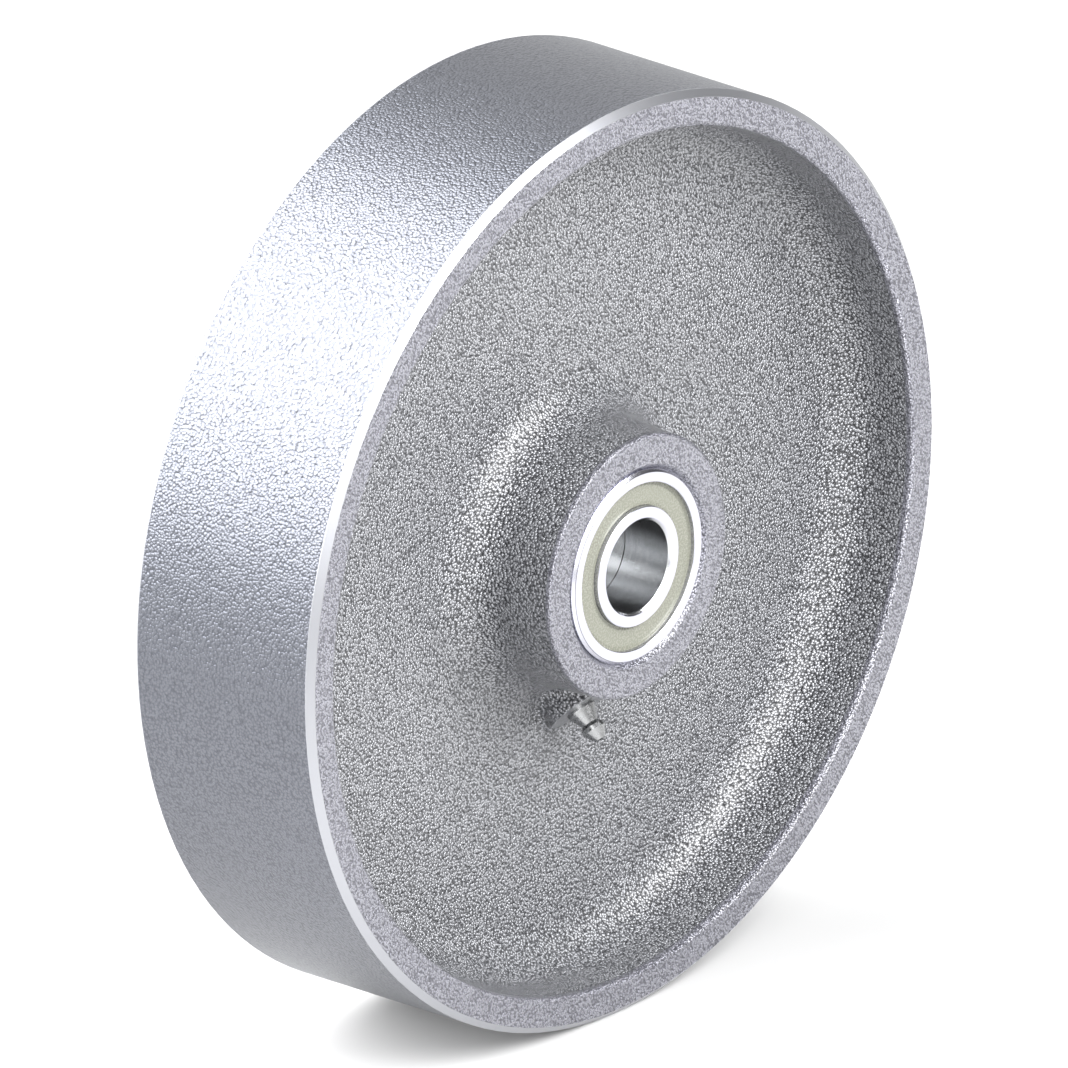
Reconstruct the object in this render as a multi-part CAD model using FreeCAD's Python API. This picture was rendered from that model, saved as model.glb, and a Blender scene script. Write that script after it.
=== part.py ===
import FreeCAD, Part
import math
import os

from FreeCAD import Placement, Rotation, Vector

# A heavy-duty castor wheel: one grey-iron casting with a deep groove ball bearing
# pressed into each end of its hub, a spacer tube between the inner rings, and a
# grease nipple on a slanted boss at the foot of the hub. Lengths are millimetres.
# The origin is the wheel's centre, +Y is the axle's axis, +Z is up, and the side
# with the grease nipple faces -Y.

# Wheel casting
wheel_diameter = 250.0
tread_width = 60.0
tread_chamfer = 1.8
rim_wall_at_face = 9.5
rim_edge_radius = 1.0
rim_draft_deg = 4.0
rim_fillet = 12.0
web_thickness = 16.0
hub_diameter_at_face = 70.6
hub_draft_deg = 3.0
hub_fillet = 12.0
hub_edge_radius = 0.8
hub_bore_chamfer = 1.3
bearing_shoulder_height = 2.6
bearing_seat_clearance = 0.01

# Length clamped between the fork's legs, over both inner rings
clamped_length = 70.0
hub_setback = 0.2

# Bearing, the 25 x 52 x 15 size
axle_diameter = 25.0
bearing_outer_diameter = 52.0
bearing_width = 15.0
ball_diameter = 7.938
ball_count = 9
race_conformity = 0.515
race_clearance = 0.02
outer_ring_chamfer = 0.75
inner_ring_chamfer = 0.63
ring_seam_chamfer = 0.1
ring_land_chamfer = 0.15
inner_shoulder_inset = 2.25
inner_land_step = 0.9
outer_shoulder_inset = 2.15
outer_lip_step = 1.15
outer_lip_width = 1.2
seal_groove_depth = 0.65
seal_groove_width = 1.1

# Seal
seal_groove_clearance = 0.03
seal_lip_clearance = 0.1
seal_side_clearance = 0.15
seal_face_inset = 0.2
seal_bead_width = 0.4
seal_cage_clearance = 0.3

# Cage
cage_sheet = 0.7
cage_ball_clearance = 0.12
cage_side_clearance = 0.5
rivet_diameter = 1.4
rivet_head_diameter = 2.1
rivet_head_height = 0.5
rivet_clearance = 0.01

# Spacer tube
spacer_wall = 3.2
spacer_edge_chamfer = 0.1

# Grease nipple and its boss
boss_slant_deg = 45.0
boss_length = 10.8
boss_diameter = 18.0
boss_edge_radius = 0.5
boss_fillet = 2.0
grease_drill_diameter = 3.5
thread_diameter = 6.0
thread_length = 6.0
thread_lead = 0.5
thread_clearance = 0.01
tap_run_out = 1.5
nipple_base_diameter = 8.3
nipple_base_height = 0.6
nipple_cone_height = 4.6
nipple_neck_diameter = 4.6
nipple_head_diameter = 6.5
nipple_head_rise = 1.0
nipple_head_band = 1.1
nipple_head_height = 4.9
nipple_tip_diameter = 3.0
nipple_mouth_diameter = 1.6
nipple_mouth_depth = 1.0
nipple_channel_diameter = 3.0
nipple_foot_wall = 0.8
nipple_foot_hole_diameter = 1.8
check_ball_diameter = 2.4
check_ball_clearance = 0.02
spring_diameter = 2.3
spring_wire = 0.3
spring_turns = 7

# Places worked out from the sizes above
AXLE = Vector(0, 1, 0)
CENTRE = Vector(0, 0, 0)
tread_radius = wheel_diameter / 2
half_tread = tread_width / 2
half_web = web_thickness / 2
half_clamped = clamped_length / 2
half_hub = half_clamped - hub_setback
hub_face_radius = hub_diameter_at_face / 2
hub_foot_radius = hub_face_radius + (half_hub - half_web) * math.tan(math.radians(hub_draft_deg))
rim_face_radius = tread_radius - rim_wall_at_face
rim_foot_radius = rim_face_radius - (half_tread - half_web) * math.tan(math.radians(rim_draft_deg))
bearing_half = bearing_width / 2
bearing_middle = half_clamped - bearing_half
bearing_back = half_clamped - bearing_width
bore_radius = axle_diameter / 2
outer_ring_radius = bearing_outer_diameter / 2
pitch_radius = (bore_radius + outer_ring_radius) / 2
ball_radius = ball_diameter / 2
race_radius = race_conformity * ball_diameter
race_offset = race_radius - ball_radius - race_clearance
inner_shoulder_radius = pitch_radius - inner_shoulder_inset
inner_land_radius = inner_shoulder_radius - inner_land_step
outer_shoulder_radius = pitch_radius + outer_shoulder_inset
outer_lip_radius = outer_shoulder_radius + outer_lip_step
seal_groove_radius = outer_lip_radius + seal_groove_depth
seal_groove_high = bearing_half - outer_lip_width
seal_groove_low = seal_groove_high - seal_groove_width
pocket_radius = ball_radius + cage_ball_clearance
seal_back = pocket_radius + cage_sheet + seal_cage_clearance
chamber_radius = outer_ring_radius - bearing_shoulder_height
boss_slant = math.radians(boss_slant_deg)
boss_face_y = -half_web - boss_length * math.cos(boss_slant)
boss_face_z = -hub_foot_radius - boss_length * math.sin(boss_slant)
nipple_place = Placement(Vector(0, boss_face_y, boss_face_z), Rotation(Vector(1, 0, 0), 90 + boss_slant_deg))
nipple_tip = nipple_cone_height + nipple_head_height
ball_seat = nipple_tip - nipple_mouth_depth
check_ball_radius = check_ball_diameter / 2
seat_cone_tip = ball_seat + nipple_mouth_diameter / 2
check_ball_height = seat_cone_tip - math.sqrt(2) * (check_ball_radius + check_ball_clearance)
nipple_foot = -thread_length + nipple_foot_wall


def turned(edges):
    """A closed outline of edges drawn as (radius, y), turned about the axle."""
    wire = Part.Wire(Part.sortEdges(edges)[0])
    return Part.Face(wire).revolve(CENTRE, AXLE, 360)


def outline(points):
    """Straight edges through (radius, y) points and back to the first."""
    corners = [Vector(r, y, 0) for r, y in points]
    return Part.makePolygon(corners + corners[:1]).Edges


def rounded_outline(points, radii):
    """An outline whose corners are rounded where radii gives them a radius."""
    corners = [Vector(r, y, 0) for r, y in points]
    edges = []
    starts = []
    ends = []
    for i, corner in enumerate(corners):
        back = (corners[i - 1] - corner).normalize()
        ahead = (corners[(i + 1) % len(corners)] - corner).normalize()
        half_angle = back.getAngle(ahead) / 2
        reach = radii[i] / math.tan(half_angle)
        starts.append(corner + back * reach)
        ends.append(corner + ahead * reach)
        if radii[i] > 0:
            inward = (back + ahead).normalize()
            top = corner + inward * (radii[i] / math.sin(half_angle) - radii[i])
            edges.append(Part.Arc(starts[i], top, ends[i]).toShape())
    for i, end in enumerate(ends):
        edges.append(Part.LineSegment(end, starts[(i + 1) % len(corners)]).toShape())
    return edges


def turned_upright(points):
    """A closed outline of (radius, height) points, turned about +Z."""
    corners = [Vector(r, 0, h) for r, h in points]
    face = Part.Face(Part.makePolygon(corners + corners[:1]))
    return face.revolve(CENTRE, Vector(0, 0, 1), 360)


def round_bar(radius, low, high):
    """A round bar along the axle's axis."""
    return Part.makeCylinder(radius, high - low, Vector(0, low, 0), AXLE)


def at_station(shape, station):
    """A shape made at the top of the pitch circle, turned on by so many ball pitches."""
    turn = Rotation(AXLE, 360.0 * station / ball_count)
    return shape.transformed(Placement(CENTRE, turn).toMatrix(), copy=True)


def at_boss(shape):
    """A shape made along +Z, set on the boss's end face and pointing out of it."""
    return shape.transformed(nipple_place.toMatrix(), copy=True)


def into_hub(shape, side):
    """A bearing piece made about its own middle, outside on +Y, put in the rear or front end."""
    placed = shape.translated(Vector(0, bearing_middle, 0))
    if side == "front":
        return placed.rotated(CENTRE, Vector(0, 0, 1), 180)
    return placed


def wheel_casting():
    """Rim, web, hub and nipple boss cast in one piece, then machined for the bearings and the nipple."""
    half = [
        (0, half_hub, 0),
        (hub_face_radius, half_hub, hub_edge_radius),
        (hub_foot_radius, half_web, hub_fillet),
        (rim_foot_radius, half_web, rim_fillet),
        (rim_face_radius, half_tread, rim_edge_radius),
        (tread_radius - tread_chamfer, half_tread, 0),
        (tread_radius, half_tread - tread_chamfer, 0),
    ]
    whole = half + [(r, -y, radius) for r, y, radius in reversed(half)]
    blank = turned(rounded_outline([(r, y) for r, y, _ in whole], [radius for _, _, radius in whole]))
    casting = with_boss(blank)
    casting = casting.cut(round_bar(chamber_radius, -half_hub, half_hub))
    for side in ("front", "rear"):
        casting = casting.cut(bearing_seat(side))
    return casting.cut(grease_way())


def bearing_seat(side):
    """What is bored out of the hub's end: the seat, and a lead chamfer past the hub's face."""
    seat_radius = outer_ring_radius + bearing_seat_clearance
    chamfer_start = half_hub - hub_bore_chamfer
    past = 2 * hub_bore_chamfer
    bored = turned(outline([
        (0, bearing_back),
        (seat_radius, bearing_back),
        (seat_radius, chamfer_start),
        (seat_radius + past, chamfer_start + past),
        (0, chamfer_start + past),
    ]))
    if side == "front":
        return bored.rotated(CENTRE, Vector(0, 0, 1), 180)
    return bored


def with_boss(blank):
    """The slanted boss grows out of the corner of hub and web, with a cast fillet round its foot."""
    root = boss_length + half_web / math.cos(boss_slant)
    boss = Part.makeCylinder(boss_diameter / 2, root, Vector(0, 0, -root), Vector(0, 0, 1))
    rim_of_face = [edge for edge in boss.Edges if edge.Closed and abs(edge.CenterOfMass.z) < 1e-6]
    boss = at_boss(boss.makeFillet(boss_edge_radius, rim_of_face))
    joined = blank.fuse(boss)
    return joined.makeFillet(boss_fillet, boss_foot_edges(joined))


def boss_foot_edges(joined):
    """Edges shared by the boss's round side and one other face, below its rounded rim."""
    axis = nipple_place.Rotation.multVec(Vector(0, 0, 1))
    edges = []
    for edge in joined.Edges:
        middle = edge.valueAt((edge.FirstParameter + edge.LastParameter) / 2) - nipple_place.Base
        on_side = abs(middle.cross(axis).Length - boss_diameter / 2) < 1e-3
        below_rim = middle.dot(axis) < -boss_edge_radius - 1e-3
        if on_side and below_rim and len(joined.ancestorsOfType(edge, Part.Face)) == 2:
            edges.append(edge)
    return edges


def grease_way():
    """The nipple's threaded hole, and the drilling that leads on into the grease chamber."""
    tap_radius = thread_diameter / 2 + thread_clearance
    tap_depth = thread_length + tap_run_out
    tap = Part.makeCylinder(tap_radius, tap_depth, Vector(0, 0, -tap_depth))
    drill_length = (-boss_face_z - chamber_radius / 2) / math.sin(boss_slant)
    drill = Part.makeCylinder(grease_drill_diameter / 2, drill_length, Vector(0, 0, -drill_length))
    return at_boss(tap.fuse(drill))


def spacer_tube():
    """A plain tube that holds the inner rings apart when the axle is tightened."""
    edge = spacer_edge_chamfer
    return turned(outline([
        (bore_radius, -bearing_back + edge),
        (bore_radius + edge, -bearing_back),
        (bore_radius + spacer_wall, -bearing_back),
        (bore_radius + spacer_wall, bearing_back),
        (bore_radius + edge, bearing_back),
        (bore_radius, bearing_back - edge),
    ]))


def inner_ring():
    """A ground ring with a ball groove, and a lower land at each end for a seal's lip."""
    land = seal_back - seal_side_clearance
    blank = turned(outline([
        (bore_radius + ring_seam_chamfer, -bearing_half),
        (inner_land_radius, -bearing_half),
        (inner_land_radius, -land),
        (inner_shoulder_radius, -land),
        (inner_shoulder_radius, land),
        (inner_land_radius, land),
        (inner_land_radius, bearing_half - ring_land_chamfer),
        (inner_land_radius - ring_land_chamfer, bearing_half),
        (bore_radius + inner_ring_chamfer, bearing_half),
        (bore_radius, bearing_half - inner_ring_chamfer),
        (bore_radius, -bearing_half + ring_seam_chamfer),
    ]))
    return blank.cut(Part.makeTorus(pitch_radius + race_offset, race_radius, CENTRE, AXLE))


def outer_ring():
    """A ground ring with a ball groove, and a snap groove for a seal at each end."""
    half = [
        (outer_shoulder_radius, seal_groove_low),
        (seal_groove_radius, seal_groove_low),
        (seal_groove_radius, seal_groove_high),
        (outer_lip_radius, seal_groove_high),
        (outer_lip_radius, bearing_half - ring_land_chamfer),
        (outer_lip_radius + ring_land_chamfer, bearing_half),
        (outer_ring_radius - outer_ring_chamfer, bearing_half),
        (outer_ring_radius, bearing_half - outer_ring_chamfer),
    ]
    blank = turned(outline(half + [(r, -y) for r, y in reversed(half)]))
    return blank.cut(Part.makeTorus(pitch_radius - race_offset, race_radius, CENTRE, AXLE))


def seal():
    """A steel washer moulded over with rubber, held by its bead in the outer ring's groove."""
    bead_radius = seal_groove_radius - seal_groove_clearance
    bead_high = seal_groove_high - seal_groove_clearance
    bead_low = seal_groove_low + seal_groove_clearance
    neck_radius = outer_lip_radius - seal_bead_width
    back_radius = outer_shoulder_radius - seal_side_clearance
    face = bead_high - seal_face_inset
    lip_radius = inner_land_radius + seal_lip_clearance
    return turned(outline([
        (lip_radius, face),
        (neck_radius, face),
        (neck_radius + seal_face_inset, bead_high),
        (bead_radius, bead_high),
        (bead_radius, bead_low),
        (back_radius, bead_low),
        (back_radius, seal_back),
        (lip_radius, seal_back),
    ]))


def ball():
    return Part.makeSphere(ball_radius, Vector(0, 0, pitch_radius))


def cage_half():
    """The cage's pressed ribbon on the +Y side: round pockets over the balls, flat lands between."""
    inside = inner_shoulder_radius + cage_side_clearance
    outside = outer_shoulder_radius - cage_side_clearance
    height = pocket_radius + cage_sheet
    band = round_bar(outside, 0, height).cut(round_bar(inside, 0, height))
    land = round_bar(outside, 0, cage_sheet).cut(round_bar(inside, 0, cage_sheet))
    middle = Vector(0, 0, pitch_radius)
    dome = Part.makeSphere(height, middle).common(band)
    pocket = Part.makeSphere(pocket_radius, middle)
    hole = round_bar(rivet_diameter / 2 + rivet_clearance, -cage_sheet, 2 * cage_sheet).translated(middle)
    stations = range(ball_count)
    ribbon = land.fuse([at_station(dome, i) for i in stations])
    ribbon = ribbon.cut([at_station(pocket, i) for i in stations])
    return ribbon.cut([at_station(hole, i + 0.5) for i in stations])


def cage_rivets():
    """Small rivets that close the two cage halves together, midway between the balls."""
    half = [
        (rivet_diameter / 2, cage_sheet),
        (rivet_head_diameter / 2, cage_sheet),
        (rivet_head_diameter / 4, cage_sheet + rivet_head_height),
        (0, cage_sheet + rivet_head_height),
    ]
    rivet = turned(outline(half + [(r, -y) for r, y in reversed(half)]))
    rivet = rivet.translated(Vector(0, 0, pitch_radius))
    return Part.makeCompound([at_station(rivet, i + 0.5) for i in range(ball_count)])


def grease_nipple():
    """The nipple's body: threaded shank, cone, neck and the head that a grease gun grips."""
    thread_radius = thread_diameter / 2
    neck_radius = nipple_neck_diameter / 2
    head_radius = nipple_head_diameter / 2
    head_low = nipple_cone_height + nipple_head_rise
    channel_radius = nipple_channel_diameter / 2
    mouth_radius = nipple_mouth_diameter / 2
    body = turned_upright([
        (nipple_foot_hole_diameter / 2, -thread_length),
        (thread_radius - thread_lead, -thread_length),
        (thread_radius, -thread_length + thread_lead),
        (thread_radius, 0),
        (nipple_base_diameter / 2, 0),
        (nipple_base_diameter / 2, nipple_base_height),
        (neck_radius, nipple_cone_height),
        (head_radius, head_low),
        (head_radius, head_low + nipple_head_band),
        (nipple_tip_diameter / 2, nipple_tip),
        (mouth_radius, nipple_tip),
        (mouth_radius, ball_seat),
        (channel_radius, ball_seat - (channel_radius - mouth_radius)),
        (channel_radius, nipple_foot),
        (nipple_foot_hole_diameter / 2, nipple_foot),
    ])
    return at_boss(body)


def nipple_ball():
    """The check ball that closes the nipple's mouth."""
    return at_boss(Part.makeSphere(check_ball_radius, Vector(0, 0, check_ball_height)))


def nipple_spring():
    """A coil spring from the nipple's foot up to the check ball."""
    coil_radius = (spring_diameter - spring_wire) / 2
    wire_radius = spring_wire / 2
    to_ball = check_ball_radius + wire_radius + check_ball_clearance
    low = nipple_foot + wire_radius + check_ball_clearance
    high = check_ball_height - math.sqrt(to_ball ** 2 - coil_radius ** 2)
    pitch = (high - low) / spring_turns
    helix = Part.makeHelix(pitch, high - low, coil_radius)
    section = Part.Wire(Part.makeCircle(wire_radius, Vector(coil_radius, 0, 0), Vector(0, 1, 0)))
    coil = Part.Wire(helix).makePipeShell([section], True, True)
    return at_boss(coil.translated(Vector(0, 0, low)))


def bearing_nodes(side):
    """The pieces of one bearing, by node name."""
    nodes = {
        side + "_outer_ring": outer_ring(),
        side + "_inner_ring": inner_ring(),
        side + "_seal": seal(),
        side + "_cage_outer": cage_half(),
        side + "_cage_inner": cage_half().rotated(CENTRE, Vector(0, 0, 1), 180),
        side + "_cage_rivets": cage_rivets(),
    }
    for i in range(ball_count):
        nodes[side + "_ball_" + str(i + 1)] = at_station(ball(), i)
    return {name: into_hub(shape, side) for name, shape in nodes.items()}


def main():
    os.makedirs("parts", exist_ok=True)
    nodes = {
        "wheel_casting": wheel_casting(),
        "spacer_tube": spacer_tube(),
        "grease_nipple": grease_nipple(),
        "nipple_ball": nipple_ball(),
        "nipple_spring": nipple_spring(),
    }
    nodes.update(bearing_nodes("front"))
    nodes.update(bearing_nodes("rear"))
    for name, shape in nodes.items():
        shape.exportStep("parts/" + name + ".step")


main()
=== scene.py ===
import bpy
import math
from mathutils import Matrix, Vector


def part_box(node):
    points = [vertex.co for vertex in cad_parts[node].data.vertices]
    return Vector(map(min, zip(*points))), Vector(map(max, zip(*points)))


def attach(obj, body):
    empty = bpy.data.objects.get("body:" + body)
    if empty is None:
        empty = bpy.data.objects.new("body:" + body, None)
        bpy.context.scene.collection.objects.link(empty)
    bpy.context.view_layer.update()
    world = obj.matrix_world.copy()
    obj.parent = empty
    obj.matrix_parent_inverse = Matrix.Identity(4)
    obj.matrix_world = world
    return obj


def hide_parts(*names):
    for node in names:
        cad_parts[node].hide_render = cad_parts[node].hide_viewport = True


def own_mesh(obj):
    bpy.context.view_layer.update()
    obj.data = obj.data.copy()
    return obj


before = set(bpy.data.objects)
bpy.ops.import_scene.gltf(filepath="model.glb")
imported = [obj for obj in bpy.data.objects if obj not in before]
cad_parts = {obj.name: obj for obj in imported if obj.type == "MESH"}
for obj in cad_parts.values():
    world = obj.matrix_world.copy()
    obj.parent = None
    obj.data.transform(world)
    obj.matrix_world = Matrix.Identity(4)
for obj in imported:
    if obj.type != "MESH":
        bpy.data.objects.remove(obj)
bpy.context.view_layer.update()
bpy.ops.object.select_all(action="DESELECT")


# Wheel casting. Rim, web, hub and nipple boss are one piece of grey iron cast in sand.
# The tread, the rim's sides and the hub's ends are turned and the bearing seats bored,
# and the whole wheel is then sprayed with silver paint, which takes on the sand's grain.

def linear(hex_colour):
    """An sRGB hex colour as the linear values that a shader takes."""
    parts = [int(hex_colour[i:i + 2], 16) / 255 for i in (1, 3, 5)]
    return [c / 12.92 if c < 0.04045 else ((c + 0.055) / 1.055) ** 2.4 for c in parts] + [1.0]


def add(tree, kind, links, **settings):
    """A shader node with its settings; a link is a value, a socket, or a node's first output."""
    node = tree.nodes.new("ShaderNode" + kind)
    for name, value in settings.items():
        setattr(node, name, value)
    for name, value in links.items():
        if isinstance(value, bpy.types.Node):
            value = next(output for output in value.outputs if output.enabled)
        if isinstance(value, bpy.types.NodeSocket):
            tree.links.new(value, node.inputs[name])
        else:
            node.inputs[name].default_value = value
    return node


def new_material(name):
    """An empty material and its node tree."""
    material = bpy.data.materials.new(name)
    material.use_nodes = True
    material.node_tree.nodes.clear()
    return material, material.node_tree


def dress(node_names, material):
    """Gives pieces of the wheel their finish."""
    for name in node_names:
        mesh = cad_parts[name].data
        mesh.materials.clear()
        mesh.materials.append(material)


millimetre = 0.001
casting_low, casting_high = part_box("wheel_casting")
tread_radius = casting_high.z
hub_face = casting_high.y
rim_face = 30 * millimetre
rim_inside_radius = 114.6 * millimetre
seat_edge_radius = 26.3 * millimetre
rim_chamfer = 1.9 * millimetre
hub_chamfer = 1.35 * millimetre
boss_radius = 9.3 * millimetre
boss_face_centre = Vector((0, -15.64, -44.34)) * millimetre
boss_axis = Vector((0, -1, -1)).normalized()
mask_edge = 0.15 * millimetre

# Aluminium paint sprayed over sand-cast iron. The flakes give a soft metallic sheen. On the
# mould's grain it breaks up into bright and dark specks, and it lies finer where it was turned.
silver_paint, tree = new_material("silver_paint_on_cast_iron")
place = add(tree, "TexCoord", {}).outputs["Object"]
axes = add(tree, "SeparateXYZ", {"Vector": place})
across_axle = add(tree, "CombineXYZ", {"X": axes.outputs["X"], "Z": axes.outputs["Z"]})
radius = add(tree, "VectorMath", {0: across_axle}, operation="LENGTH")
depth = add(tree, "Math", {0: axes.outputs["Y"]}, operation="ABSOLUTE")

chamfer_foot = tread_radius - rim_chamfer
on_tread = add(tree, "MapRange", {
    "Value": radius, "From Min": chamfer_foot, "From Max": chamfer_foot + mask_edge})
past_rim_chamfer = add(tree, "MapRange", {
    "Value": depth, "From Min": rim_face - rim_chamfer - mask_edge, "From Max": rim_face - rim_chamfer})
on_rim_chamfer = add(tree, "Math", {0: on_tread, 1: past_rim_chamfer}, operation="MULTIPLY")
outside_recess = add(tree, "MapRange", {
    "Value": radius, "From Min": rim_inside_radius - mask_edge, "From Max": rim_inside_radius + mask_edge})
on_rim_face = add(tree, "Math", {0: past_rim_chamfer, 1: outside_recess}, operation="MULTIPLY")
on_hub_face = add(tree, "MapRange", {
    "Value": depth, "From Min": hub_face - hub_chamfer - mask_edge, "From Max": hub_face - hub_chamfer})
on_turned_face = add(tree, "Math", {0: on_rim_face, 1: on_hub_face}, operation="MAXIMUM")
in_seat = add(tree, "MapRange", {
    "Value": radius, "From Min": seat_edge_radius + mask_edge, "From Max": seat_edge_radius - mask_edge})
from_boss_face = add(tree, "VectorMath", {0: place, 1: boss_face_centre}, operation="SUBTRACT")
along_boss = add(tree, "VectorMath", {0: from_boss_face, 1: boss_axis}, operation="DOT_PRODUCT")
off_boss_axis = add(tree, "VectorMath", {0: from_boss_face, 1: boss_axis}, operation="CROSS_PRODUCT")
off_boss_axis = add(tree, "VectorMath", {0: off_boss_axis}, operation="LENGTH")
at_boss_end = add(tree, "MapRange", {
    "Value": along_boss, "From Min": -2 * mask_edge, "From Max": -mask_edge})
near_boss_axis = add(tree, "MapRange", {
    "Value": off_boss_axis, "From Min": boss_radius + mask_edge, "From Max": boss_radius})
on_boss_face = add(tree, "Math", {0: at_boss_end, 1: near_boss_axis}, operation="MULTIPLY")
on_smooth = add(tree, "Math", {0: in_seat, 1: on_boss_face}, operation="MAXIMUM")
on_smooth = add(tree, "Math", {0: on_smooth, 1: on_rim_chamfer}, operation="MAXIMUM")

# The grain is a field of low domes with narrow valleys between them, as sand leaves it.
mould_grain_size = 0.75 * millimetre
turned_grain_size = 0.6 * millimetre
mould_grain_depth = 0.78 * millimetre
turned_grain_depth = 0.4 * millimetre
tread_grain_depth = 0.2 * millimetre
fineness = add(tree, "Mix", {"Factor": on_turned_face, "A": 1 / mould_grain_size, "B": 1 / turned_grain_size})
grain = add(tree, "TexVoronoi", {"Vector": place, "Scale": fineness}, feature="F1")
domes = add(tree, "Math", {0: grain, 1: grain}, operation="MULTIPLY")
grain_depth = add(tree, "Mix", {"Factor": on_turned_face, "A": mould_grain_depth, "B": turned_grain_depth})
grain_depth = add(tree, "Mix", {"Factor": on_tread, "A": grain_depth, "B": tread_grain_depth})
grain_depth = add(tree, "Mix", {"Factor": on_smooth, "A": grain_depth, "B": 0.0})
height = add(tree, "Math", {0: domes, 1: grain_depth}, operation="MULTIPLY")
grain_bump = add(tree, "Bump", {"Height": height, "Strength": 1.0, "Distance": 1.0}, invert=True)

# Painted shade: the paint is drawn darker in the grain's valleys than on its dome tops.
top_colour = linear("#a4a5a9")
painted_valley_shade = linear("#5a5b5f")
turned_top_colour = linear("#9c9ca5")
turned_painted_valley_shade = linear("#5a5a63")
# Painted shade: the tread is drawn in a darker copy of the casting's paint.
tread_shaded_top_colour = linear("#6d6f76")
tread_painted_valley_shade = linear("#575960")
rim_chamfer_colour = linear("#a6a7ac")
dome_top = 0.05
valley_floor = 0.45
valley_shade_amount = add(tree, "MapRange", {"Value": domes, "From Min": dome_top, "From Max": valley_floor})
mould_colour = add(tree, "Mix", {"Factor": valley_shade_amount, "A": top_colour, "B": painted_valley_shade}, data_type="RGBA")
turned_colour = add(tree, "Mix", {
    "Factor": valley_shade_amount, "A": turned_top_colour, "B": turned_painted_valley_shade}, data_type="RGBA")
shaded_tread_colour = add(tree, "Mix", {
    "Factor": valley_shade_amount, "A": tread_shaded_top_colour, "B": tread_painted_valley_shade}, data_type="RGBA")
colour = add(tree, "Mix", {"Factor": on_turned_face, "A": mould_colour, "B": turned_colour}, data_type="RGBA")
colour = add(tree, "Mix", {"Factor": on_tread, "A": colour, "B": shaded_tread_colour}, data_type="RGBA")
colour = add(tree, "Mix", {"Factor": on_rim_chamfer, "A": colour, "B": rim_chamfer_colour}, data_type="RGBA")
mould_roughness = 0.25
turned_roughness = 0.32
tread_roughness = 0.36
roughness = add(tree, "Mix", {"Factor": on_turned_face, "A": mould_roughness, "B": turned_roughness})
roughness = add(tree, "Mix", {"Factor": on_tread, "A": roughness, "B": tread_roughness})
mould_metallic = 0.68
tread_metallic = 0.9
metallic = add(tree, "Mix", {"Factor": on_tread, "A": mould_metallic, "B": tread_metallic})

# The paint's clear binder levels over the grain, so its own shine is smoother than the flakes'.
# It lies thin on the tread.
film_levelling = 0.2
film_roughness = 0.3
film_on_tread = 0.2
film_height = add(tree, "Math", {0: height, 1: film_levelling}, operation="MULTIPLY")
film_bump = add(tree, "Bump", {"Height": film_height, "Strength": 1.0, "Distance": 1.0}, invert=True)
film = add(tree, "MapRange", {"Value": on_tread, "To Min": 1.0, "To Max": film_on_tread})
shader = add(tree, "BsdfPrincipled", {
    "Base Color": colour, "Metallic": metallic, "Roughness": roughness, "Normal": grain_bump,
    "Coat Weight": film, "Coat Roughness": film_roughness, "Coat Normal": film_bump})
add(tree, "OutputMaterial", {"Surface": shader})
dress(["wheel_casting"], silver_paint)


# Bearing rings. The inner and outer rings are through-hardened bearing steel, turned and
# then ground all over. Their end faces stand a hair proud of the hub's and shine almost white.
sides = ("front", "rear")
spacer_wall = 3.2 * millimetre
bore_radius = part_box("spacer_tube")[1].x - spacer_wall
bore_edge = 0.5 * millimetre
seam_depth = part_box("spacer_tube")[1].y
seam_width = 0.2 * millimetre
ring_chamfer = 0.75 * millimetre
chamfer_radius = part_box("front_outer_ring")[1].z - ring_chamfer
chamfer_line = 0.3 * millimetre
grinding_line = 0.18 * millimetre
grinding_depth = 0.004 * millimetre

# Ground bearing steel: a bright mirror, drawn out a little by fine grinding lines that run
# round the axle. Real lines are a few microns apart, so they are drawn as coarse as they show.
face_colour = linear("#d2d2dc")
bore_colour = linear("#c8c9cb")
seam_shade_colour = linear("#303032")
chamfer_colour = linear("#6a6a70")
ground_roughness = (0.18, 0.26)
noise_range = (0.3, 0.7)
ground_steel, tree = new_material("ground_bearing_steel")
place = add(tree, "TexCoord", {}).outputs["Object"]
axes = add(tree, "SeparateXYZ", {"Vector": place})
across_axle = add(tree, "CombineXYZ", {"X": axes.outputs["X"], "Z": axes.outputs["Z"]})
radius = add(tree, "VectorMath", {0: across_axle}, operation="LENGTH")
section = add(tree, "CombineXYZ", {"X": radius, "Y": axes.outputs["Y"]})
lines = add(tree, "TexNoise", {"Vector": section, "Scale": 1 / grinding_line, "Detail": 2.0})
height = add(tree, "Math", {0: lines, 1: grinding_depth}, operation="MULTIPLY")
line_bump = add(tree, "Bump", {"Height": height, "Strength": 1.0, "Distance": 1.0})
in_bore = add(tree, "MapRange", {
    "Value": radius, "From Min": bore_radius + bore_edge, "From Max": bore_radius + bore_edge / 2})
depth = add(tree, "Math", {0: axes.outputs["Y"]}, operation="ABSOLUTE")
# Painted shade: the joint between ring and spacer is drawn as a dark line, for the shade in the narrow seam
# and the grease in it.
shaded_seam = add(tree, "MapRange", {
    "Value": depth, "From Min": seam_depth + seam_width, "From Max": seam_depth + seam_width / 2})
shaded_seam = add(tree, "Math", {0: shaded_seam, 1: in_bore}, operation="MULTIPLY")
colour = add(tree, "Mix", {"Factor": in_bore, "A": face_colour, "B": bore_colour}, data_type="RGBA")
colour = add(tree, "Mix", {"Factor": shaded_seam, "A": colour, "B": seam_shade_colour}, data_type="RGBA")
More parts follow.
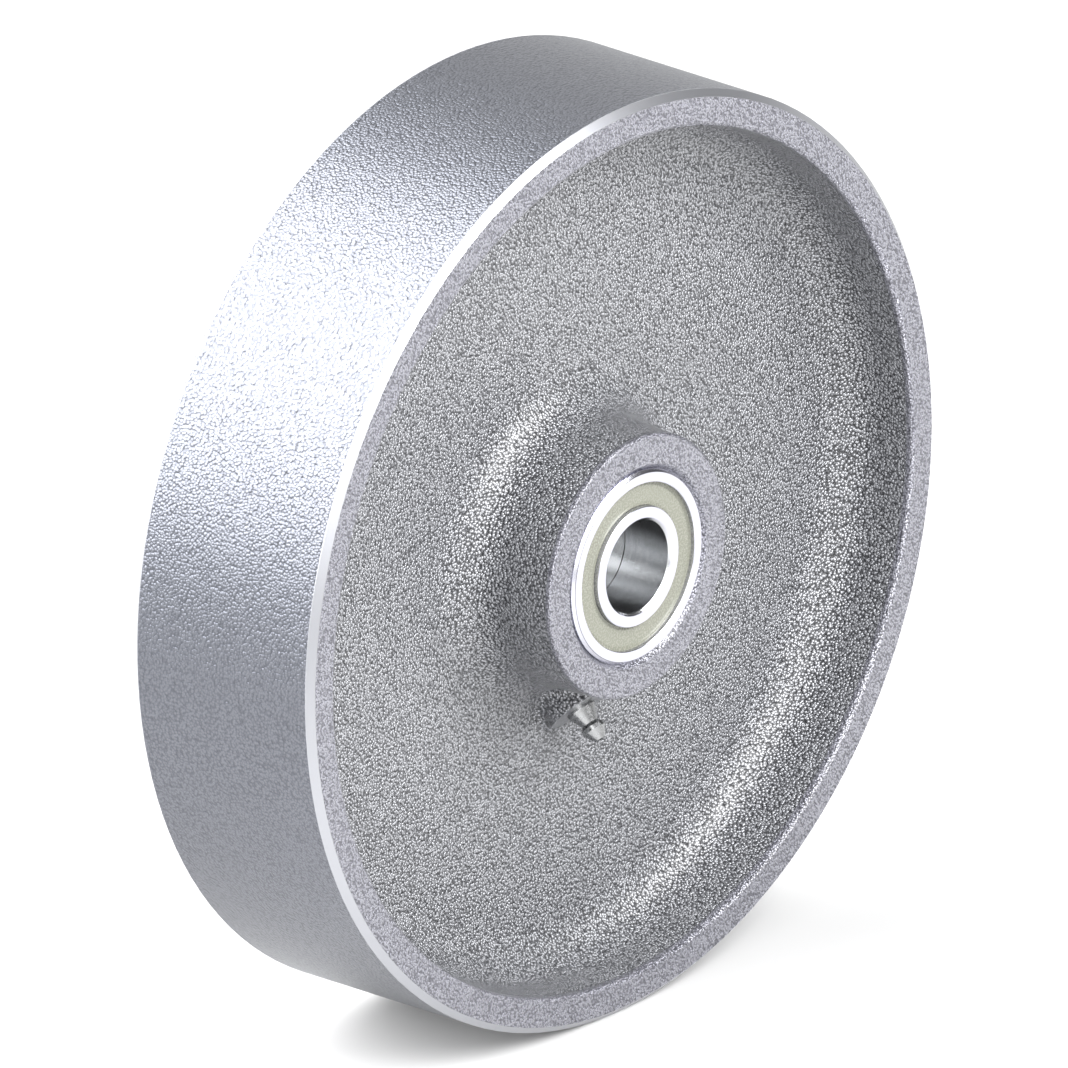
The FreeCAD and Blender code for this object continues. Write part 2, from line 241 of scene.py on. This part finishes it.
# Painted shade: a thin grey line is drawn where the ring's end face meets its chamfer.
from_chamfer = add(tree, "Math", {0: radius, 1: chamfer_radius}, operation="SUBTRACT")
from_chamfer = add(tree, "Math", {0: from_chamfer}, operation="ABSOLUTE")
painted_chamfer_shade = add(tree, "MapRange", {
    "Value": from_chamfer, "From Min": chamfer_line / 2, "From Max": 0.0})
colour = add(tree, "Mix", {"Factor": painted_chamfer_shade, "A": colour, "B": chamfer_colour}, data_type="RGBA")
roughness = add(tree, "MapRange", {
    "Value": lines, "From Min": noise_range[0], "From Max": noise_range[1],
    "To Min": ground_roughness[0], "To Max": ground_roughness[1]})
shader = add(tree, "BsdfPrincipled", {
    "Base Color": colour, "Metallic": 1.0, "Roughness": roughness, "Normal": line_bump})
add(tree, "OutputMaterial", {"Surface": shader})
dress([side + ring for side in sides for ring in ("_outer_ring", "_inner_ring")], ground_steel)


# Seals. A washer of sheet steel moulded over with synthetic rubber, snapped into a groove
# of the outer ring. Its lip runs on the inner ring's land and keeps the grease in.
seal_lip_radius = 16.2 * millimetre
seal_bead_radius = 22.3 * millimetre
seal_rise_width = 1.0 * millimetre
seal_rise = 0.5 * millimetre
rubber_mottle = 0.5 * millimetre
rubber_mottle_depth = 0.01 * millimetre

# Moulded synthetic rubber: an even grey-green skin with the soft shine of the mould.
rubber_colours = (linear("#727368"), linear("#7c7d72"))
rubber_roughness = (0.24, 0.3)
moulded_rubber, tree = new_material("moulded_rubber")
place = add(tree, "TexCoord", {}).outputs["Object"]
mottle = add(tree, "TexNoise", {"Vector": place, "Scale": 1 / rubber_mottle, "Detail": 2.0})
axes = add(tree, "SeparateXYZ", {"Vector": place})
across_axle = add(tree, "CombineXYZ", {"X": axes.outputs["X"], "Z": axes.outputs["Z"]})
radius = add(tree, "VectorMath", {0: across_axle}, operation="LENGTH")
lip_rise = add(tree, "MapRange", {
    "Value": radius, "From Min": seal_lip_radius + seal_rise_width, "From Max": seal_lip_radius,
    "To Max": seal_rise}, interpolation_type="SMOOTHSTEP")
bead_rise = add(tree, "MapRange", {
    "Value": radius, "From Min": seal_bead_radius - seal_rise_width, "From Max": seal_bead_radius,
    "To Max": seal_rise}, interpolation_type="SMOOTHSTEP")
height = add(tree, "Math", {0: mottle, 1: rubber_mottle_depth}, operation="MULTIPLY")
height = add(tree, "Math", {0: height, 1: lip_rise}, operation="ADD")
height = add(tree, "Math", {0: height, 1: bead_rise}, operation="ADD")
mottle_bump = add(tree, "Bump", {"Height": height, "Strength": 1.0, "Distance": 1.0})
colour = add(tree, "Mix", {
    "Factor": mottle, "A": rubber_colours[0], "B": rubber_colours[1]}, data_type="RGBA")
roughness = add(tree, "MapRange", {
    "Value": mottle, "From Min": noise_range[0], "From Max": noise_range[1],
    "To Min": rubber_roughness[0], "To Max": rubber_roughness[1]})
shader = add(tree, "BsdfPrincipled", {"Base Color": colour, "Roughness": roughness, "Normal": mottle_bump})
add(tree, "OutputMaterial", {"Surface": shader})
dress([side + "_seal" for side in sides], moulded_rubber)


# Balls. Nine in each bearing, and a small one that closes the grease nipple. All are
# through-hardened steel, ground and then lapped between plates.
balls = [side + "_ball_" + str(i + 1) for side in sides for i in range(9)]
lapping_mark = 0.4 * millimetre

# Lapped bearing steel: a clear mirror with a faint haze that comes and goes over the ball.
ball_colour = linear("#e6e7ea")
lapped_roughness = (0.03, 0.1)
lapped_steel, tree = new_material("lapped_bearing_steel")
place = add(tree, "TexCoord", {}).outputs["Object"]
haze = add(tree, "TexNoise", {"Vector": place, "Scale": 1 / lapping_mark, "Detail": 3.0})
roughness = add(tree, "MapRange", {
    "Value": haze, "To Min": lapped_roughness[0], "To Max": lapped_roughness[1]})
shader = add(tree, "BsdfPrincipled", {"Base Color": ball_colour, "Metallic": 1.0, "Roughness": roughness})
add(tree, "OutputMaterial", {"Surface": shader})
dress(balls + ["nipple_ball"], lapped_steel)


# Cages. Two ribbons pressed from thin steel strip hold the balls apart, and small rivets
# between the pockets close them together.
cage_pieces = ("_cage_outer", "_cage_inner", "_cage_rivets")
strip_grain = 0.35 * millimetre
strip_grain_depth = 0.01 * millimetre

# Pressed steel strip: a grey, slightly dull metal with the rolled strip's grain.
strip_colours = (linear("#a5a5a6"), linear("#c3c3c4"))
strip_roughness = 0.3
pressed_steel, tree = new_material("pressed_steel_strip")
place = add(tree, "TexCoord", {}).outputs["Object"]
grain = add(tree, "TexNoise", {"Vector": place, "Scale": 1 / strip_grain, "Detail": 3.0})
height = add(tree, "Math", {0: grain, 1: strip_grain_depth}, operation="MULTIPLY")
strip_bump = add(tree, "Bump", {"Height": height, "Strength": 1.0, "Distance": 1.0})
colour = add(tree, "Mix", {
    "Factor": grain, "A": strip_colours[0], "B": strip_colours[1]}, data_type="RGBA")
shader = add(tree, "BsdfPrincipled", {
    "Base Color": colour, "Metallic": 1.0, "Roughness": strip_roughness, "Normal": strip_bump})
add(tree, "OutputMaterial", {"Surface": shader})
dress([side + piece for side in sides for piece in cage_pieces], pressed_steel)


# Spacer tube. A plain turned tube between the two inner rings, which carries the clamping
# load of the axle past the bearings. Its bore shows behind the front ring as one smooth wall.
reaming_line = 0.3 * millimetre
reaming_depth = 0.006 * millimetre

# Reamed steel: a bright grey bore with fine lines round it, that smear reflections into bands.
spacer_colour = linear("#c8c9ca")
reamed_roughness = (0.2, 0.28)
reamed_steel, tree = new_material("reamed_steel")
place = add(tree, "TexCoord", {}).outputs["Object"]
axes = add(tree, "SeparateXYZ", {"Vector": place})
across_axle = add(tree, "CombineXYZ", {"X": axes.outputs["X"], "Z": axes.outputs["Z"]})
radius = add(tree, "VectorMath", {0: across_axle}, operation="LENGTH")
section = add(tree, "CombineXYZ", {"X": radius, "Y": axes.outputs["Y"]})
lines = add(tree, "TexNoise", {"Vector": section, "Scale": 1 / reaming_line, "Detail": 2.0})
height = add(tree, "Math", {0: lines, 1: reaming_depth}, operation="MULTIPLY")
line_bump = add(tree, "Bump", {"Height": height, "Strength": 1.0, "Distance": 1.0})
roughness = add(tree, "MapRange", {
    "Value": lines, "From Min": noise_range[0], "From Max": noise_range[1],
    "To Min": reamed_roughness[0], "To Max": reamed_roughness[1]})
depth = add(tree, "Math", {0: axes.outputs["Y"]}, operation="ABSOLUTE")
# Painted shade: the same dark line is drawn at the spacer's end, where it meets the ring.
shaded_seam = add(tree, "MapRange", {
    "Value": depth, "From Min": seam_depth - seam_width, "From Max": seam_depth - seam_width / 2})
colour = add(tree, "Mix", {"Factor": shaded_seam, "A": spacer_colour, "B": seam_shade_colour}, data_type="RGBA")
shader = add(tree, "BsdfPrincipled", {
    "Base Color": colour, "Metallic": 1.0, "Roughness": roughness, "Normal": line_bump})
add(tree, "OutputMaterial", {"Surface": shader})
dress(["spacer_tube"], reamed_steel)


# Grease nipple. Turned from free-cutting steel and plated with zinc, it is screwed into
# the boss. Its head takes a grease gun, and a ball on a spring closes its mouth from inside.
plating_bloom = 0.8 * millimetre
plating_bloom_depth = 0.003 * millimetre

# Bright zinc plating: a cool, soft shine with a slight bloom.
zinc_colours = (linear("#9d9e9f"), linear("#a9aaab"))
zinc_roughness = (0.2, 0.32)
zinc_plate, tree = new_material("zinc_plated_steel")
place = add(tree, "TexCoord", {}).outputs["Object"]
bloom = add(tree, "TexNoise", {"Vector": place, "Scale": 1 / plating_bloom, "Detail": 2.0})
height = add(tree, "Math", {0: bloom, 1: plating_bloom_depth}, operation="MULTIPLY")
bloom_bump = add(tree, "Bump", {"Height": height, "Strength": 1.0, "Distance": 1.0})
colour = add(tree, "Mix", {
    "Factor": bloom, "A": zinc_colours[0], "B": zinc_colours[1]}, data_type="RGBA")
roughness = add(tree, "MapRange", {
    "Value": bloom, "From Min": noise_range[0], "From Max": noise_range[1],
    "To Min": zinc_roughness[0], "To Max": zinc_roughness[1]})
shader = add(tree, "BsdfPrincipled", {
    "Base Color": colour, "Metallic": 1.0, "Roughness": roughness, "Normal": bloom_bump})
add(tree, "OutputMaterial", {"Surface": shader})
dress(["grease_nipple"], zinc_plate)


# Valve spring. A coil of drawn steel wire in the nipple's foot, wound cold, which holds the
# check ball against its mouth. It shortens towards the foot when a grease gun pushes the ball in.
weld_distance = 0.0001 * millimetre

# Drawn spring wire: grey steel with the die's lines, too fine to show but as breaks in its shine.
drawing_line = 0.1 * millimetre
wire_colour = linear("#a9a9ab")
wire_roughness = (0.2, 0.4)
spring_wire, tree = new_material("drawn_spring_wire")
place = add(tree, "TexCoord", {}).outputs["Object"]
lines = add(tree, "TexNoise", {"Vector": place, "Scale": 1 / drawing_line, "Detail": 1.0})
roughness = add(tree, "MapRange", {
    "Value": lines, "To Min": wire_roughness[0], "To Max": wire_roughness[1]})
shader = add(tree, "BsdfPrincipled", {"Base Color": wire_colour, "Metallic": 1.0, "Roughness": roughness})
add(tree, "OutputMaterial", {"Surface": shader})
dress(["nipple_spring"], spring_wire)

coil = bpy.data.objects.new("valve_spring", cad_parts["nipple_spring"].data.copy())
bpy.context.scene.collection.objects.link(coil)
bpy.context.view_layer.objects.active = coil
coil.select_set(True)
bpy.ops.object.mode_set(mode="EDIT")
bpy.ops.mesh.select_all(action="SELECT")
bpy.ops.mesh.remove_doubles(threshold=weld_distance)
bpy.ops.object.mode_set(mode="OBJECT")
bpy.ops.object.select_all(action="DESELECT")
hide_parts("nipple_spring")
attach(coil, "wheel")
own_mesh(coil)


# Floor. A wide white studio floor under the wheel. It shows white where a ray looks
# straight at it or by way of a metal, and darker only where the wheel takes its light.
floor_width = 8.0
paper_until = 0.25
white_from = 1.0
floor_glow = 0.1
paper_colour = linear("#c0c0c0")

floor_paper, tree = new_material("white_studio_floor")
ray = add(tree, "LightPath", {})
seen = add(tree, "Math", {
    0: ray.outputs["Is Camera Ray"], 1: ray.outputs["Is Glossy Ray"]}, operation="MAXIMUM")
seen = add(tree, "Math", {0: seen, 1: ray.outputs["Is Transmission Ray"]}, operation="MAXIMUM")
place = add(tree, "TexCoord", {}).outputs["Object"]
level_place = add(tree, "VectorMath", {0: place, 1: (1, 1, 0)}, operation="MULTIPLY")
from_wheel = add(tree, "VectorMath", {0: level_place}, operation="LENGTH")
far_off = add(tree, "MapRange", {"Value": from_wheel, "From Min": paper_until, "From Max": white_from})
paper = add(tree, "BsdfDiffuse", {"Color": paper_colour})
glow = add(tree, "Emission", {"Color": linear("#ffffff"), "Strength": floor_glow})
near_paper = add(tree, "AddShader", {0: paper, 1: glow})
plain_white = add(tree, "Emission", {"Color": linear("#ffffff"), "Strength": 1.0})
seen_floor = add(tree, "MixShader", {0: far_off, 1: near_paper, 2: plain_white})
floor_surface = add(tree, "MixShader", {0: seen, 1: paper, 2: seen_floor})
add(tree, "OutputMaterial", {"Surface": floor_surface})

bpy.ops.mesh.primitive_plane_add(size=floor_width, location=(0, 0, casting_low.z))
floor = bpy.context.object
floor.name = "floor"
bpy.ops.object.transform_apply(location=True, rotation=False, scale=False)
floor.data.materials.append(floor_paper)
bpy.ops.object.select_all(action="DESELECT")


# Studio. A white surround that darkens overhead, and three soft lamps: a large one behind draws
# the broad highlight on the tread, a brighter one in front lights the recess, and a weak one at
# the left keeps the hub's side from going dark.
surround_light = 0.15
overhead_shade = 0.08
backdrop_light = 1.0
full_shade_height = 0.2
backdrop_edge = 0.4
front_edge = -0.1
studio = bpy.data.worlds.new("studio")
bpy.context.scene.world = studio
studio.use_nodes = True
tree = studio.node_tree
tree.nodes.clear()
ray = add(tree, "LightPath", {})
seen = add(tree, "Math", {
    0: ray.outputs["Is Camera Ray"], 1: ray.outputs["Is Glossy Ray"]}, operation="MAXIMUM")
seen = add(tree, "Math", {0: seen, 1: ray.outputs["Is Transmission Ray"]}, operation="MAXIMUM")
heading = add(tree, "SeparateXYZ", {"Vector": add(tree, "TexCoord", {}).outputs["Generated"]})
above = add(tree, "MapRange", {"Value": heading.outputs["Z"], "From Min": 0.0, "From Max": full_shade_height})
in_front = add(tree, "MapRange", {
    "Value": heading.outputs["Y"], "From Min": backdrop_edge, "From Max": front_edge})
shade = add(tree, "Math", {0: above, 1: in_front}, operation="MULTIPLY")
brightness = add(tree, "MapRange", {"Value": shade, "To Min": backdrop_light, "To Max": overhead_shade})
soft_light = add(tree, "Background", {"Color": linear("#ffffff"), "Strength": surround_light})
seen_sky = add(tree, "Background", {"Color": linear("#ffffff"), "Strength": brightness})
sky = add(tree, "MixShader", {0: seen, 1: soft_light, 2: seen_sky})
add(tree, "OutputWorld", {"Surface": sky})


def soft_lamp(name, direction, distance, width, radiance):
    """A round area lamp that faces the wheel; its power follows from how bright its face is."""
    lamp = bpy.data.lights.new(name, "AREA")
    lamp.shape = "DISK"
    lamp.size = width
    lamp.energy = radiance * math.pi * math.pi * (width / 2) ** 2
    holder = bpy.data.objects.new(name, lamp)
    bpy.context.scene.collection.objects.link(holder)
    towards = Vector(direction).normalized()
    holder.location = towards * distance
    holder.rotation_euler = towards.to_track_quat("Z", "Y").to_euler()
    holder.visible_camera = False


soft_lamp("lamp_behind", direction=(-0.46, 0.595, 0.62), distance=1.5, width=2.25, radiance=9.0)
soft_lamp("lamp_in_front", direction=(0.15, -0.77, 0.62), distance=1.4, width=1.2, radiance=11.5)
soft_lamp("lamp_at_left", direction=(-0.60, -0.60, 0.52), distance=1.4, width=1.5, radiance=3.0)


# Camera. It looks down on the wheel from the front left, with a parallel view, in which the
# wheel's parallel edges stay parallel.
camera_azimuth = math.radians(-50.05)
camera_elevation = math.radians(22.167)
camera_distance = 2.0
camera_reach = 20.0
picture_width = 274.06 * millimetre
towards_camera = Vector((
    math.sin(camera_azimuth) * math.cos(camera_elevation),
    -math.cos(camera_azimuth) * math.cos(camera_elevation),
    math.sin(camera_elevation)))
camera_data = bpy.data.cameras.new("camera")
camera_data.type = "ORTHO"
camera_data.ortho_scale = picture_width
camera_data.clip_end = camera_reach
camera = bpy.data.objects.new("camera", camera_data)
bpy.context.scene.collection.objects.link(camera)
camera.location = towards_camera * camera_distance
camera.rotation_euler = towards_camera.to_track_quat("Z", "Y").to_euler()
bpy.context.scene.camera = camera

bpy.context.scene.view_settings.view_transform = "Standard"
